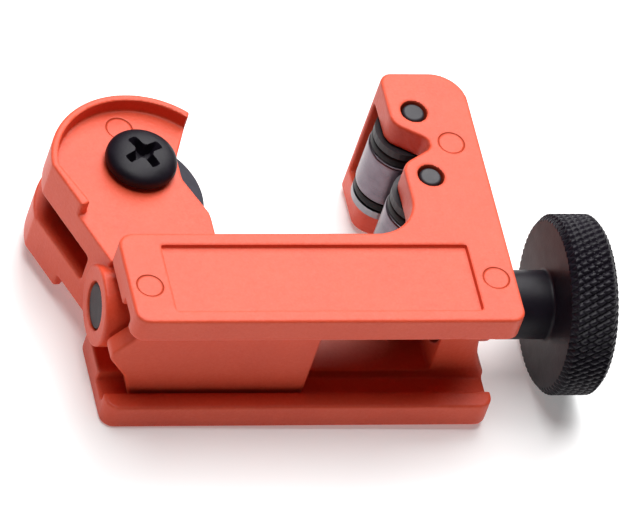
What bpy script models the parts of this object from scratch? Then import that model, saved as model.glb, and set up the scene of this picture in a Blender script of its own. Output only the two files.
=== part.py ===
"""Small screw-feed pipe cutter, lying on its side.

A die-cast C frame carries two free rollers in a clevis at one end.  A die-cast jaw slides
along grooves in the frame and holds the cutting wheel.  A feed screw, turned by a knurled
knob, pulls the jaw towards the rollers.

Metres, +Z up.  In the working frame used by every function below, X runs along the feed
screw from the open end of the frame to the knob, Y = 0 and Z = 0 are the screw's axis, and
+Y points to the open side of the C.  The whole model hangs on one empty, which puts the
origin under the middle of the object's box.
"""
import math

import bmesh
import bpy
from mathutils import Matrix, Vector

# ---------------------------------------------------------------- clearances
FIT = 0.0003              # radial gap round a shaft, pin or bush, and beside a sliding face
SEAT = 0.00015            # gap under a seated head or washer
OVER = 0.002              # how far a cutter runs past the face it opens

# ---------------------------------------------------------------- frame casting
FRAME_LENGTH = 0.0497
CHANNEL_GAP = 0.0128      # between the two flanges
FLANGE_THICK = 0.00375
NEAR_EDGE = 0.0109        # screw axis to the closed edge of the flanges
FAR_EDGE = 0.0031         # screw axis to the open edge of the flanges
LIP_WIDTH = 0.0025        # lip outside the guide groove
GROOVE_WIDTH = 0.0033
GROOVE_DEPTH = 0.00145
BOSS_LENGTH = 0.0069      # bearing block at the knob end
END_INSET = 0.0003        # washer's pad set back from the knob end
TROUGH_RADIUS = 0.0125    # hollow of the knob end between the flanges
TROUGH_DEPTH = 0.0021
PAD_RADIUS = 0.0045
END_CORNER = 0.0021       # plan radius at the open end
NEAR_CORNER = 0.0018
CASTING_EDGE = 0.0003     # soft edge of a die casting

# ---------------------------------------------------------------- roller clevis
CLEVIS_DEPTH = 0.01075    # clevis front edge to the knob end
PIPE_LINE = 0.01745       # screw axis to the middle of the rollers and the wheel
ROLLER_SPACING = 0.0103
ROLLER_RADIUS = 0.0041
ROLLER_SETBACK = 0.0033   # roller axis behind the clevis front edge
ROLLER_ROOM = 0.0004      # round each roller
END_WALL = 0.0017
CLEVIS_BACK_CORNER = 0.0044
CLEVIS_FRONT_CORNER = 0.0012
THROAT_FILLET = 0.0057
NOTCH_HALF_WIDTH = 0.0033
NOTCH_DEPTH = 0.0054
NOTCH_MOUTH_RADIUS = 0.0024
NOTCH_ROOT_RADIUS = 0.0013

# ---------------------------------------------------------------- rollers and their pins
PIN_RADIUS = 0.0014
PIN_RECESS = 0.0002
SLEEVE_HALF_LENGTH = 0.0035
SLEEVE_WALL = 0.0013
COLLAR_RADIUS = 0.00395
SHIM_THICK = 0.0011
SHIM_RADIUS = 0.0040
SPIGOT_LENGTH = 0.0022

# ---------------------------------------------------------------- sliding jaw casting
JAW_OPENING_X = 0.0068    # wheel axis from the open end of the frame, jaw open
RIM_RADIUS = 0.0116
RIM_WIDTH = 0.00095
RIM_HEIGHT = 0.0020
RIM_CENTRE_BACK = 0.00025  # rim centre behind the wheel axis
RIM_CENTRE_DROP = 0.00185  # rim centre nearer the screw than the wheel axis
RIM_START = math.radians(49)
RIM_END = math.radians(178)
RIM_TAIL_DROP = 0.0056     # rim's end on the back edge, below the rim centre
ARM_FRONT = 0.0076        # arm's front edge ahead of the wheel axis, at its foot
ARM_WAIST = 0.0051        # the same beside the wheel
ARM_BACK = 0.0066         # arm's back edge behind the wheel axis, at its foot
ARM_FOOT = 0.0022         # where the arm's full thickness starts
ARM_INSET = 0.0003        # arm's faces inside the guided part's
BARREL_WALL = 0.00175
BARREL_PROUD = 0.00105    # barrel's end beyond the open end of the frame
BARREL_LENGTH = 0.0198
WEB_THICK = 0.0074        # between barrel and guide plate
GUIDE_TIP = -0.0008       # point of the guide plate's back end
GUIDE_SHOULDER = 0.0034   # where its full width starts
GUIDE_END = 0.0256
GUIDE_ROUND = 0.0010

# ---------------------------------------------------------------- cutting wheel and its screw
WHEEL_RADIUS = 0.0095
WHEEL_SLOT = 0.0042
WHEEL_HUB_RADIUS = 0.0050
WHEEL_WEB_HALF = 0.00085
WHEEL_BEVEL = 0.0026
WHEEL_EDGE_HALF = 0.00006
AXLE_RADIUS = 0.0024
AXLE_BUSH_WALL = 0.0007
SLOT_ROOM = 0.0005        # wheel rim to the bottom of its slot
SLOT_UNDERCUT = 0.0016    # slot's floor below that, where the casting is cored
HEAD_RADIUS = 0.0045
HEAD_HEIGHT = 0.00265
CROSS_LENGTH = 0.0049
CROSS_WIDTH = 0.0011
CROSS_DEPTH = 0.0016

# ---------------------------------------------------------------- feed screw and knob
SCREW_RADIUS = 0.00295
SCREW_RECESS = 0.00025    # screw's end inside the barrel's end
JOURNAL_RADIUS = 0.0025
THREAD_END_GAP = 0.0006   # plain shank between the thread and the bearing block
CLIP_POCKET_DEPTH = 0.0015
CLIP_POCKET_RADIUS = 0.0046
CLIP_THICK = 0.0005
CLIP_RADIUS = 0.0041
CLIP_GROOVE_RADIUS = 0.0019
WASHER_THICK = 0.0006
WASHER_RADIUS = 0.0042
HUB_RADIUS = 0.00428
HUB_LENGTH = 0.0066
KNOB_RADIUS = 0.0112
KNOB_WIDTH = 0.0061
KNOB_CHAMFER = 0.0007
KNOB_DISH = 0.0006
PEG_RADIUS = 0.0008
PEG_TILT = math.radians(39.6)

# ---------------------------------------------------------------- surface detail of the castings
PANEL_MARGIN_X = 0.0053
PANEL_MARGIN_Y = 0.00185
PANEL_DEPTH = 0.0006
PANEL_CORNER = 0.0003
MARK_RADIUS = 0.0017
MARK_DEPTH = 0.00015

# ---------------------------------------------------------------- worked out from the above
HALF_GAP = CHANNEL_GAP / 2
HALF_THICK = HALF_GAP + FLANGE_THICK
GROOVE_NEAR = -NEAR_EDGE + LIP_WIDTH
GROOVE_FAR = GROOVE_NEAR + GROOVE_WIDTH
CLEVIS_FRONT = FRAME_LENGTH - CLEVIS_DEPTH
ROLLER_X = CLEVIS_FRONT + ROLLER_SETBACK
ROLLER_YS = {
    "far": PIPE_LINE + ROLLER_SPACING / 2,
    "near": PIPE_LINE - ROLLER_SPACING / 2,
}
CLEVIS_FAR = ROLLER_YS["far"] + ROLLER_RADIUS + ROLLER_ROOM + END_WALL
BOSS_FACE = FRAME_LENGTH - END_INSET
BOSS_START = BOSS_FACE - BOSS_LENGTH
PIN_HOLE = PIN_RADIUS + FIT

JAW_HALF = HALF_GAP - FIT
RIM_X = JAW_OPENING_X - RIM_CENTRE_BACK
RIM_Y = PIPE_LINE - RIM_CENTRE_DROP
ARM_HALF = JAW_HALF - ARM_INSET
SCREW_BORE = SCREW_RADIUS + FIT
BARREL_RADIUS = SCREW_BORE + BARREL_WALL
AXLE_HOLE = AXLE_RADIUS + FIT
AXLE_BUSH_RADIUS = AXLE_HOLE + AXLE_BUSH_WALL
WHEEL_BORE = AXLE_BUSH_RADIUS + FIT
WHEEL_HUB_HALF = WHEEL_SLOT / 2 - FIT

POCKET_FLOOR = BOSS_START + CLIP_POCKET_DEPTH
CLIP_START = POCKET_FLOOR - 2 * SEAT - WASHER_THICK - CLIP_THICK
JOURNAL_BORE = JOURNAL_RADIUS + FIT
WASHER_START = BOSS_FACE + SEAT
HUB_START = WASHER_START + WASHER_THICK + SEAT
KNOB_START = HUB_START + HUB_LENGTH
KNOB_END = KNOB_START + KNOB_WIDTH
PEG_X = HUB_START + HUB_LENGTH / 2

BOX_LOW_X = RIM_X + RIM_RADIUS * math.cos(RIM_END)
BOX_LOW_Y = -max(KNOB_RADIUS, NEAR_EDGE)
ORIGIN = Vector((
    (BOX_LOW_X + KNOB_END) / 2,
    (BOX_LOW_Y + CLEVIS_FAR) / 2,
    -max(KNOB_RADIUS, HALF_THICK),
))

SEGMENTS = 32
FINE_SEGMENTS = 60
ARC_STEP = math.radians(15)
SMOOTH_ANGLE = math.radians(35)


# ---------------------------------------------------------------- scene and materials
def clear_scene():
    """Start from an empty scene, without closing the file that is open."""
    for item in list(bpy.data.objects):
        bpy.data.objects.remove(item, do_unlink=True)


def new_collection(name):
    collection = bpy.data.collections.new(name)
    bpy.context.scene.collection.children.link(collection)
    return collection


def new_material(name, colour, roughness, metallic):
    material = bpy.data.materials.new(name)
    material.use_nodes = True
    shader = material.node_tree.nodes["Principled BSDF"]
    shader.inputs["Base Color"].default_value = (*colour, 1.0)
    shader.inputs["Roughness"].default_value = roughness
    shader.inputs["Metallic"].default_value = metallic
    return material


clear_scene()
PARTS = new_collection("pipe_cutter")
TOOLS = new_collection("cutters")
ROOT = bpy.data.objects.new("pipe_cutter_root", None)
ROOT.location = -ORIGIN
PARTS.objects.link(ROOT)

CASTING = new_material("orange_painted_casting", (0.83, 0.13, 0.06), 0.42, 0.0)
BLACK_STEEL = new_material("black_oxide_steel", (0.02, 0.02, 0.025), 0.45, 0.9)
ROLLER_STEEL = new_material("ground_roller_steel", (0.42, 0.41, 0.42), 0.30, 1.0)
PIN_STEEL = new_material("dark_pin_steel", (0.10, 0.10, 0.11), 0.40, 1.0)
WHEEL_STEEL = new_material("hardened_wheel_steel", (0.09, 0.09, 0.11), 0.33, 1.0)
COLLAR_PLASTIC = new_material("black_collar_plastic", (0.015, 0.015, 0.017), 0.40, 0.0)
WASHER_STEEL = new_material("zinc_washer_steel", (0.55, 0.55, 0.56), 0.35, 1.0)
BRONZE = new_material("sintered_bronze", (0.55, 0.33, 0.12), 0.45, 1.0)


# ---------------------------------------------------------------- modelling helpers
def add_object(name, mesh, material=None):
    """A finished node when it has a material, otherwise a cutting or joining tool."""
    item = bpy.data.objects.new(name, mesh)
    if material is None:
        TOOLS.objects.link(item)
        item.hide_render = True
        item.display_type = "WIRE"
    else:
        PARTS.objects.link(item)
        mesh.materials.append(material)
    item.parent = ROOT
    return item


def rounded(corners, step=ARC_STEP):
    """Closed outline through corners (x, y, radius), each rounded by a tangent arc."""
    points = []
    count = len(corners)
    for i, (x, y, radius) in enumerate(corners):
        corner = Vector((x, y))
        to_last = (Vector(corners[i - 1][:2]) - corner).normalized()
        to_next = (Vector(corners[(i + 1) % count][:2]) - corner).normalized()
        if radius <= 0:
            points.append(corner)
            continue
        half = to_last.angle(to_next) / 2
        start = corner + to_last * radius / math.tan(half)
        centre = corner + (to_last + to_next).normalized() * radius / math.sin(half)
        spoke = start - centre
        turn = math.pi - 2 * half
        if to_last.cross(to_next) > 0:
            turn = -turn
        pieces = max(2, math.ceil(abs(turn) / step))
        for k in range(pieces + 1):
            points.append(centre + Matrix.Rotation(turn * k / pieces, 2) @ spoke)
    return points


def arc(centre_x, centre_y, radius, start, end, step=ARC_STEP):
    """Points along an arc, both ends included."""
    pieces = max(2, math.ceil(abs(end - start) / step))
    angles = [start + (end - start) * k / pieces for k in range(pieces + 1)]
    return [Vector((centre_x + radius * math.cos(a), centre_y + radius * math.sin(a)))
            for a in angles]


def plate(name, outline, low, high, material=None, turn=None):
    """A flat outline filled and extruded from low to high along Z, then turned."""
    curve = bpy.data.curves.new(name, "CURVE")
    curve.dimensions = "2D"
    curve.fill_mode = "BOTH"
    curve.extrude = (high - low) / 2
    spline = curve.splines.new("POLY")
    spline.points.add(len(outline) - 1)
    for point, place in zip(spline.points, outline):
        point.co = (place[0], place[1], 0.0, 1.0)
    spline.use_cyclic_u = True
    flat = bpy.data.objects.new(name + "_outline", curve)
    TOOLS.objects.link(flat)
    bpy.context.view_layer.update()
    graph = bpy.context.evaluated_depsgraph_get()
    mesh = bpy.data.meshes.new_from_object(flat.evaluated_get(graph))
    bpy.data.objects.remove(flat, do_unlink=True)
    work = bmesh.new()
    work.from_mesh(mesh)
    bmesh.ops.remove_doubles(work, verts=work.verts, dist=1e-6)
    bmesh.ops.dissolve_limit(work, angle_limit=1e-3, verts=work.verts, edges=work.edges)
    bmesh.ops.recalc_face_normals(work, faces=work.faces)
    work.to_mesh(mesh)
    work.free()
    mesh.transform(Matrix.Translation((0, 0, (high + low) / 2)))
    if turn is not None:
        mesh.transform(turn)
    mesh.name = name
    return add_object(name, mesh, material)


def block(name, low, high):
    """A box between two corners, for cutting or joining."""
    work = bmesh.new()
    bmesh.ops.create_cube(work, size=1.0)
    size = Vector(high) - Vector(low)
    middle = (Vector(high) + Vector(low)) / 2
    bmesh.ops.transform(
        work, verts=work.verts, matrix=Matrix.Translation(middle) @ Matrix.Diagonal((*size, 1)))
    mesh = bpy.data.meshes.new(name)
    work.to_mesh(mesh)
    work.free()
    return add_object(name, mesh)


ALONG_X = Matrix(((0, 0, 1, 0), (1, 0, 0, 0), (0, 1, 0, 0), (0, 0, 0, 1)))
ALONG_Y = Matrix(((0, 1, 0, 0), (0, 0, 1, 0), (1, 0, 0, 0), (0, 0, 0, 1)))


def rod(name, radius, start, end, place, segments=SEGMENTS):
    """A cylinder for cutting or joining; place takes its own Z axis to where it goes."""
    work = bmesh.new()
    bmesh.ops.create_cone(
        work, cap_ends=True, segments=segments, radius1=radius, radius2=radius,
        depth=end - start)
    shift = Matrix.Translation((0, 0, (start + end) / 2))
    bmesh.ops.transform(work, verts=work.verts, matrix=place @ shift)
    mesh = bpy.data.meshes.new(name)
    work.to_mesh(mesh)
    work.free()
    return add_object(name, mesh)


def turned(name, profile, material, place, segments=SEGMENTS):
    """A profile of (radius, height) points turned round its own Z axis, then placed.

    The profile runs from the top of the outside downwards.  A piece with a bore repeats
    its first point at the end; a solid piece starts and ends on the axis.
    """
    mesh = bpy.data.meshes.new(name)
    closed = profile[0][0] > 0
    points = [(radius, 0, height) for radius, height in profile]
    edges = [(i, i + 1) for i in range(len(points) - 1)]
    if closed:
        edges.append((len(points) - 1, 0))
    mesh.from_pydata(points, edges, [])
    item = add_object(name, mesh, material)
    screw = item.modifiers.new("turn", "SCREW")
    screw.axis = "Z"
    screw.angle = 2 * math.pi
    screw.steps = segments
    screw.render_steps = segments
    screw.use_merge_vertices = True
    screw.merge_threshold = 1e-6
    bpy.context.view_layer.update()
    graph = bpy.context.evaluated_depsgraph_get()
    solid = bpy.data.meshes.new_from_object(item.evaluated_get(graph))
    solid.shade_smooth()
    solid.set_sharp_from_angle(angle=SMOOTH_ANGLE)
    item.modifiers.remove(screw)
    item.data = solid
    item.matrix_local = place
    return item


def boolean(item, tool, operation):
    step = item.modifiers.new(tool.name, "BOOLEAN")
    step.operation = operation
    step.object = tool
    step.solver = "EXACT"


def cut(item, *tools):
    for tool in tools:
        boolean(item, tool, "DIFFERENCE")


def join(item, *tools):
    for tool in tools:
        boolean(item, tool, "UNION")


def soften(item):
    """The small round that every edge of a die casting has."""
    bevel = item.modifiers.new("soft_edges", "BEVEL")
    bevel.width = CASTING_EDGE
    bevel.segments = 1
    bevel.limit_method = "ANGLE"
    bevel.angle_limit = SMOOTH_ANGLE
    return item


# ---------------------------------------------------------------- the frame
def frame_outline():
    """Plan of the casting: flanges, clevis with its notch, and the throat fillet."""
    notch_low = PIPE_LINE - NOTCH_HALF_WIDTH
    notch_high = PIPE_LINE + NOTCH_HALF_WIDTH
    return rounded([
        (0, -NEAR_EDGE, NEAR_CORNER),
        (FRAME_LENGTH, -NEAR_EDGE, NEAR_CORNER),
        (FRAME_LENGTH, CLEVIS_FAR, CLEVIS_BACK_CORNER),
        (CLEVIS_FRONT, CLEVIS_FAR, CLEVIS_FRONT_CORNER),
        (CLEVIS_FRONT, notch_high, NOTCH_MOUTH_RADIUS),
        (CLEVIS_FRONT + NOTCH_DEPTH, PIPE_LINE, NOTCH_ROOT_RADIUS),
        (CLEVIS_FRONT, notch_low, NOTCH_MOUTH_RADIUS),
        (CLEVIS_FRONT, FAR_EDGE, THROAT_FILLET),
        (0, FAR_EDGE, END_CORNER),
    ])


def build_frame():
    frame = soften(plate("frame", frame_outline(), -HALF_THICK, HALF_THICK, CASTING))
    floor_y = ROLLER_YS["near"] - ROLLER_RADIUS - ROLLER_ROOM
    room_far = CLEVIS_FAR - END_WALL
    room_back = ROLLER_X + ROLLER_RADIUS + ROLLER_ROOM
    outside = NEAR_EDGE + OVER
    cut(
        frame,
        block("channel_cut", (-OVER, -outside, -HALF_GAP), (BOSS_START, floor_y, HALF_GAP)),
        block("roller_room_cut", (-OVER, floor_y - OVER / 2, -HALF_GAP),
              (CLEVIS_FRONT + OVER, room_far, HALF_GAP)),
        block("roller_back_cut", (CLEVIS_FRONT, floor_y, -HALF_GAP),
              (room_back, room_far, HALF_GAP)),
        block("guide_groove_cut", (-OVER, GROOVE_NEAR, -HALF_GAP - GROOVE_DEPTH),
              (FRAME_LENGTH + OVER, GROOVE_FAR, HALF_GAP + GROOVE_DEPTH)),
        block("lip_gap_cut", (BOSS_START - OVER, -outside, -HALF_GAP),
              (FRAME_LENGTH + OVER, GROOVE_NEAR + OVER / 2, HALF_GAP)),
        rod("end_trough_cut", TROUGH_RADIUS, GROOVE_NEAR, CLEVIS_FAR - END_WALL,
            Matrix.Translation((FRAME_LENGTH - TROUGH_DEPTH + TROUGH_RADIUS, 0, 0)) @ ALONG_Y,
            FINE_SEGMENTS),
    )
    join(frame, rod("washer_pad_join", PAD_RADIUS, BOSS_START + OVER, BOSS_FACE, ALONG_X))
    for side, y in ROLLER_YS.items():
        place = Matrix.Translation((ROLLER_X, y, 0))
        cut(frame, rod("pin_hole_cut_" + side, PIN_HOLE,
                       -HALF_THICK - OVER, HALF_THICK + OVER, place))
    cut(
        frame,
        rod("journal_bore_cut", JOURNAL_BORE, BOSS_START - OVER, FRAME_LENGTH + OVER, ALONG_X),
        rod("clip_pocket_cut", CLIP_POCKET_RADIUS, BOSS_START - OVER, POCKET_FLOOR, ALONG_X),
    )
    panel = rounded([
        (PANEL_MARGIN_X, -NEAR_EDGE + PANEL_MARGIN_Y, PANEL_CORNER),
        (FRAME_LENGTH - PANEL_MARGIN_X, -NEAR_EDGE + PANEL_MARGIN_Y, PANEL_CORNER),
        (FRAME_LENGTH - PANEL_MARGIN_X, FAR_EDGE - PANEL_MARGIN_Y, PANEL_CORNER),
        (PANEL_MARGIN_X, FAR_EDGE - PANEL_MARGIN_Y, PANEL_CORNER),
    ])
    marks = {
        "left": (PANEL_MARGIN_X / 2, -NEAR_EDGE * 0.48),
        "right": (FRAME_LENGTH - PANEL_MARGIN_X / 2, -NEAR_EDGE * 0.38),
        "clevis": (FRAME_LENGTH - CLEVIS_DEPTH * 0.34, PIPE_LINE),
    }
    for sign, face in ((1, "top"), (-1, "bottom")):
        surface = sign * HALF_THICK
        floor = surface - sign * PANEL_DEPTH
        above = surface + sign * OVER
        cut(frame, plate("panel_cut_" + face, panel, min(floor, above), max(floor, above)))
        for name, (x, y) in marks.items():
            low = surface - sign * MARK_DEPTH
            place = Matrix.Translation((x, y, 0))
            cut(frame, rod("mark_cut_" + name + "_" + face, MARK_RADIUS,
                           min(low, above), max(low, above), place))
    return frame


# ---------------------------------------------------------------- the sliding jaw
def arm_outline():
    """Plan of the jaw's arm, round the wheel and down to its foot in the channel."""
    wheel_x = JAW_OPENING_X
    head = arc(RIM_X, RIM_Y, RIM_RADIUS, RIM_START, RIM_END)
    heel = Vector((wheel_x - ARM_BACK, ARM_FOOT))
    front = rounded([
        (*heel, 0),
        (wheel_x + ARM_FRONT, ARM_FOOT, 0),
        (wheel_x + ARM_FRONT, PIPE_LINE * 0.56, 0.003),
        (wheel_x + ARM_WAIST, PIPE_LINE * 0.88, 0.0025),
        (wheel_x + ARM_WAIST, PIPE_LINE * 1.08, 0.0025),
        (*head[0], 0),
    ])[1:-1]
    return head + [heel] + front


def face_pocket_outline():
    """Plan of the sunk face inside the raised rim, run out past the arm where it is open."""
    rim = arc(RIM_X, RIM_Y, RIM_RADIUS - RIM_WIDTH, RIM_START, RIM_END)
    heel = Vector((JAW_OPENING_X - ARM_BACK, ARM_FOOT))
    wall = heel - arc(RIM_X, RIM_Y, RIM_RADIUS, RIM_START, RIM_END)[-1]
    tail_y = RIM_Y - RIM_TAIL_DROP
    tail_x = heel.x + (tail_y - heel.y) * wall.x / wall.y + RIM_WIDTH
    left = RIM_X - RIM_RADIUS - OVER
    right = JAW_OPENING_X + RIM_RADIUS + OVER
    low = ARM_FOOT - OVER
    return rim + [
        Vector((tail_x, tail_y)),
        Vector((left, tail_y - RIM_WIDTH / 2)),
        Vector((left, low)),
        Vector((right, low)),
        Vector((right, rim[0].y + RIM_WIDTH * 0.3)),
        Vector((rim[0].x + RIM_WIDTH * 0.5, rim[0].y - RIM_WIDTH * 0.5)),
    ]


def build_jaw():
    rim_top = ARM_HALF + RIM_HEIGHT
    jaw = plate("jaw", arm_outline(), -rim_top, rim_top, CASTING)
    pocket = face_pocket_outline()
    cut(
        jaw,
        plate("face_pocket_cut_top", pocket, ARM_HALF, rim_top + OVER),
        plate("face_pocket_cut_bottom", pocket, -rim_top - OVER, -ARM_HALF),
    )
    barrel_end = BARREL_LENGTH - BARREL_PROUD
    guide_near = GROOVE_NEAR + FIT
    guide_far = GROOVE_FAR - FIT
    guide_half = HALF_GAP + GROOVE_DEPTH - FIT
    shoulder = GUIDE_SHOULDER - GUIDE_TIP
    guide_outline = rounded([
        (GUIDE_SHOULDER, -guide_half, GUIDE_ROUND),
        (GUIDE_END, -guide_half, GUIDE_ROUND),
        (GUIDE_END, guide_half, GUIDE_ROUND),
        (GUIDE_SHOULDER, guide_half, GUIDE_ROUND),
        (GUIDE_TIP + shoulder * 0.76, guide_half * 0.55, GUIDE_ROUND),
        (GUIDE_TIP, 0, GUIDE_ROUND),
        (GUIDE_TIP + shoulder * 0.76, -guide_half * 0.55, GUIDE_ROUND),
    ])
    stand = Matrix.Rotation(math.radians(90), 4, "X")
    join(
        jaw,
        soften(rod("barrel_join", BARREL_RADIUS, -BARREL_PROUD, barrel_end, ALONG_X)),
        block("web_join", (GUIDE_TIP + shoulder * 0.8, guide_far - CASTING_EDGE * 2,
                           -WEB_THICK / 2),
              (barrel_end - CASTING_EDGE * 3, 0, WEB_THICK / 2)),
        soften(plate("guide_plate_join", guide_outline, -guide_far, -guide_near, None, stand)),
    )
    slot_floor = PIPE_LINE - WHEEL_RADIUS - SLOT_ROOM - SLOT_UNDERCUT
    axle = Matrix.Translation((JAW_OPENING_X, PIPE_LINE, 0))
    cut(
        jaw,
        block("wheel_slot_cut",
              (RIM_X - RIM_RADIUS - OVER, slot_floor, -WHEEL_SLOT / 2),
              (JAW_OPENING_X + RIM_RADIUS + OVER, RIM_Y + RIM_RADIUS + OVER, WHEEL_SLOT / 2)),
        rod("feed_bore_cut", SCREW_BORE, -BARREL_PROUD - OVER, barrel_end + OVER, ALONG_X),
        rod("axle_hole_cut", AXLE_HOLE, -rim_top - OVER, rim_top + OVER, axle),
    )
    mark = Matrix.Translation((JAW_OPENING_X - 0.0018, PIPE_LINE + 0.0068, 0))
    for sign, face in ((1, "top"), (-1, "bottom")):
        floor = sign * (ARM_HALF - MARK_DEPTH)
        above = sign * (rim_top + OVER)
        cut(jaw, rod("jaw_mark_cut_" + face, MARK_RADIUS, min(floor, above),
                     max(floor, above), mark))
    return jaw


# ---------------------------------------------------------------- cutting wheel, bush and screw
def build_wheel():
    axle = Matrix.Translation((JAW_OPENING_X, PIPE_LINE, 0))
    bevel_start = WHEEL_RADIUS - WHEEL_BEVEL
    half = [
        (WHEEL_BORE, WHEEL_HUB_HALF),
        (WHEEL_HUB_RADIUS, WHEEL_HUB_HALF),
        (WHEEL_HUB_RADIUS, WHEEL_WEB_HALF),
        (bevel_start, WHEEL_WEB_HALF),
        (WHEEL_RADIUS, WHEEL_EDGE_HALF),
    ]
    profile = half + [(radius, -height) for radius, height in reversed(half)]
    turned("cutter_wheel", profile, WHEEL_STEEL, axle, FINE_SEGMENTS)
    bush = ring(AXLE_HOLE, AXLE_BUSH_RADIUS, -WHEEL_HUB_HALF, WHEEL_HUB_HALF)
    turned("wheel_bush", bush, BRONZE, axle)


def build_wheel_screw():
    """Pan-head screw: head on the upper cheek, shank through the wheel, end in the lower."""
    axle = Matrix.Translation((JAW_OPENING_X, PIPE_LINE, 0))
    seat = ARM_HALF + SEAT
    top = seat + HEAD_HEIGHT
    crown = [
        (HEAD_RADIUS * math.sin(math.radians(a)) ** 0.8,
         seat + HEAD_HEIGHT * (0.28 + 0.72 * math.cos(math.radians(a)) ** 0.8))
        for a in (15, 30, 45, 60, 75, 90)
    ]
    profile = [(0, top)] + crown + [
        (HEAD_RADIUS, seat + HEAD_HEIGHT * 0.12),
        (HEAD_RADIUS - HEAD_HEIGHT * 0.12, seat),
        (AXLE_RADIUS, seat),
        (AXLE_RADIUS, -ARM_HALF + 0.0009),
        (AXLE_RADIUS - 0.0005, -ARM_HALF + 0.0004),
        (0, -ARM_HALF + 0.0004),
    ]
    screw = turned("wheel_screw", profile, BLACK_STEEL, axle)
    floor = top - CROSS_DEPTH
    reach, half = CROSS_LENGTH / 2, CROSS_WIDTH / 2
    arms = [(reach, half), (half, half), (half, reach), (-half, reach), (-half, half),
            (-reach, half), (-reach, -half), (-half, -half), (-half, -reach), (half, -reach),
            (half, -half), (reach, -half)]
    cross = rounded([(x, y, 0) for x, y in arms])
    turn = axle @ Matrix.Rotation(math.radians(28), 4, "Z")
    cut(screw, plate("cross_recess_cut", cross, floor, top + OVER, None, turn))


def ring(bore, radius, low, high):
    """Profile of a plain ring."""
    return [(radius, high), (radius, low), (bore, low), (bore, high)]


# ---------------------------------------------------------------- rollers
def build_roller(side, y):
    """A steel sleeve on two flanged bushes, with a shim at each end, all on one pin."""
    centre = Matrix.Translation((ROLLER_X, y, 0))
    pin_end = HALF_THICK - PIN_RECESS
    chamfer = PIN_RADIUS * 0.2
    turned("roller_pin_" + side, [
        (0, pin_end), (PIN_RADIUS - chamfer, pin_end), (PIN_RADIUS, pin_end - chamfer),
        (PIN_RADIUS, chamfer - pin_end), (PIN_RADIUS - chamfer, -pin_end), (0, -pin_end),
    ], PIN_STEEL, centre)
    sleeve_bore = ROLLER_RADIUS - SLEEVE_WALL
    bite = 0.0003
    half = [(sleeve_bore, SLEEVE_HALF_LENGTH), (ROLLER_RADIUS - bite, SLEEVE_HALF_LENGTH),
            (ROLLER_RADIUS, SLEEVE_HALF_LENGTH - bite)]
    turned("roller_sleeve_" + side,
           half + [(radius, -height) for radius, height in reversed(half)],
           ROLLER_STEEL, centre)
    shim_far = HALF_GAP - SEAT
    shim_near = shim_far - SHIM_THICK
    collar_far = shim_near - SEAT
    collar_near = SLEEVE_HALF_LENGTH + SEAT
    spigot_radius = sleeve_bore - FIT
    spigot_end = collar_near - SPIGOT_LENGTH
    for end, flip in (("top", Matrix.Identity(4)),
                      ("bottom", Matrix.Rotation(math.pi, 4, "X"))):
        turned("roller_bush_" + side + "_" + end, [
            (COLLAR_RADIUS, collar_far), (COLLAR_RADIUS, collar_near),
            (spigot_radius, collar_near),
            (spigot_radius, spigot_end), (PIN_HOLE, spigot_end), (PIN_HOLE, collar_far),
        ], COLLAR_PLASTIC, centre @ flip)
        turned("roller_shim_" + side + "_" + end,
               ring(PIN_HOLE, SHIM_RADIUS, shim_near, shim_far),
               WASHER_STEEL, centre @ flip)


# ---------------------------------------------------------------- feed screw, knob and fasteners
def build_feed():
    barrel_face = -BARREL_PROUD
    start = barrel_face + SCREW_RECESS
    thread_end = BOSS_START - THREAD_END_GAP
    groove_low = CLIP_START - SEAT
    groove_high = CLIP_START + CLIP_THICK + SEAT
    end = KNOB_END - SCREW_RECESS
    tip = 0.0004
    screw = turned("feed_screw", [
        (0, end), (JOURNAL_RADIUS - tip, end), (JOURNAL_RADIUS, end - tip),
        (JOURNAL_RADIUS, groove_high), (CLIP_GROOVE_RADIUS, groove_high),
        (CLIP_GROOVE_RADIUS, groove_low), (JOURNAL_RADIUS, groove_low),
        (JOURNAL_RADIUS, thread_end), (SCREW_RADIUS, thread_end - tip),
        (SCREW_RADIUS, start + tip), (SCREW_RADIUS - tip, start), (0, start),
    ], BLACK_STEEL, ALONG_X)
    knob = turned("knob", [
        (KNOB_RADIUS - KNOB_CHAMFER, KNOB_END),
        (KNOB_RADIUS, KNOB_END - KNOB_CHAMFER),
        (KNOB_RADIUS, KNOB_START + KNOB_CHAMFER),
        (KNOB_RADIUS - KNOB_CHAMFER, KNOB_START),
        (HUB_RADIUS, KNOB_START),
        (HUB_RADIUS, HUB_START + tip),
        (HUB_RADIUS - tip, HUB_START),
        (JOURNAL_BORE, HUB_START),
        (JOURNAL_BORE, KNOB_END - KNOB_DISH),
        (KNOB_RADIUS * 0.62, KNOB_END - KNOB_DISH),
        (KNOB_RADIUS * 0.70, KNOB_END),
    ], BLACK_STEEL, ALONG_X, FINE_SEGMENTS)
    across = Matrix.Translation((PEG_X, 0, 0)) @ Matrix.Rotation(PEG_TILT - math.pi / 2, 4, "X")
    hole = rod("peg_hole_cut", PEG_RADIUS + FIT, -HUB_RADIUS - OVER, HUB_RADIUS + OVER,
               across)
    cut(screw, hole)
    cut(knob, hole)
    peg_end = HUB_RADIUS - FIT
    rise = PEG_RADIUS * 0.3
    turned("knob_peg", [
        (0, peg_end), (PEG_RADIUS - rise, peg_end), (PEG_RADIUS, peg_end - rise),
        (PEG_RADIUS, rise - peg_end), (PEG_RADIUS - rise, -peg_end), (0, -peg_end),
    ], PIN_STEEL, across)
    turned("thrust_washer",
           ring(JOURNAL_BORE, WASHER_RADIUS, WASHER_START, WASHER_START + WASHER_THICK),
           WASHER_STEEL, ALONG_X)
    clip_washer = POCKET_FLOOR - SEAT - WASHER_THICK
    turned("clip_washer",
           ring(JOURNAL_BORE, WASHER_RADIUS, clip_washer, clip_washer + WASHER_THICK),
           WASHER_STEEL, ALONG_X)
    build_clip()


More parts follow.
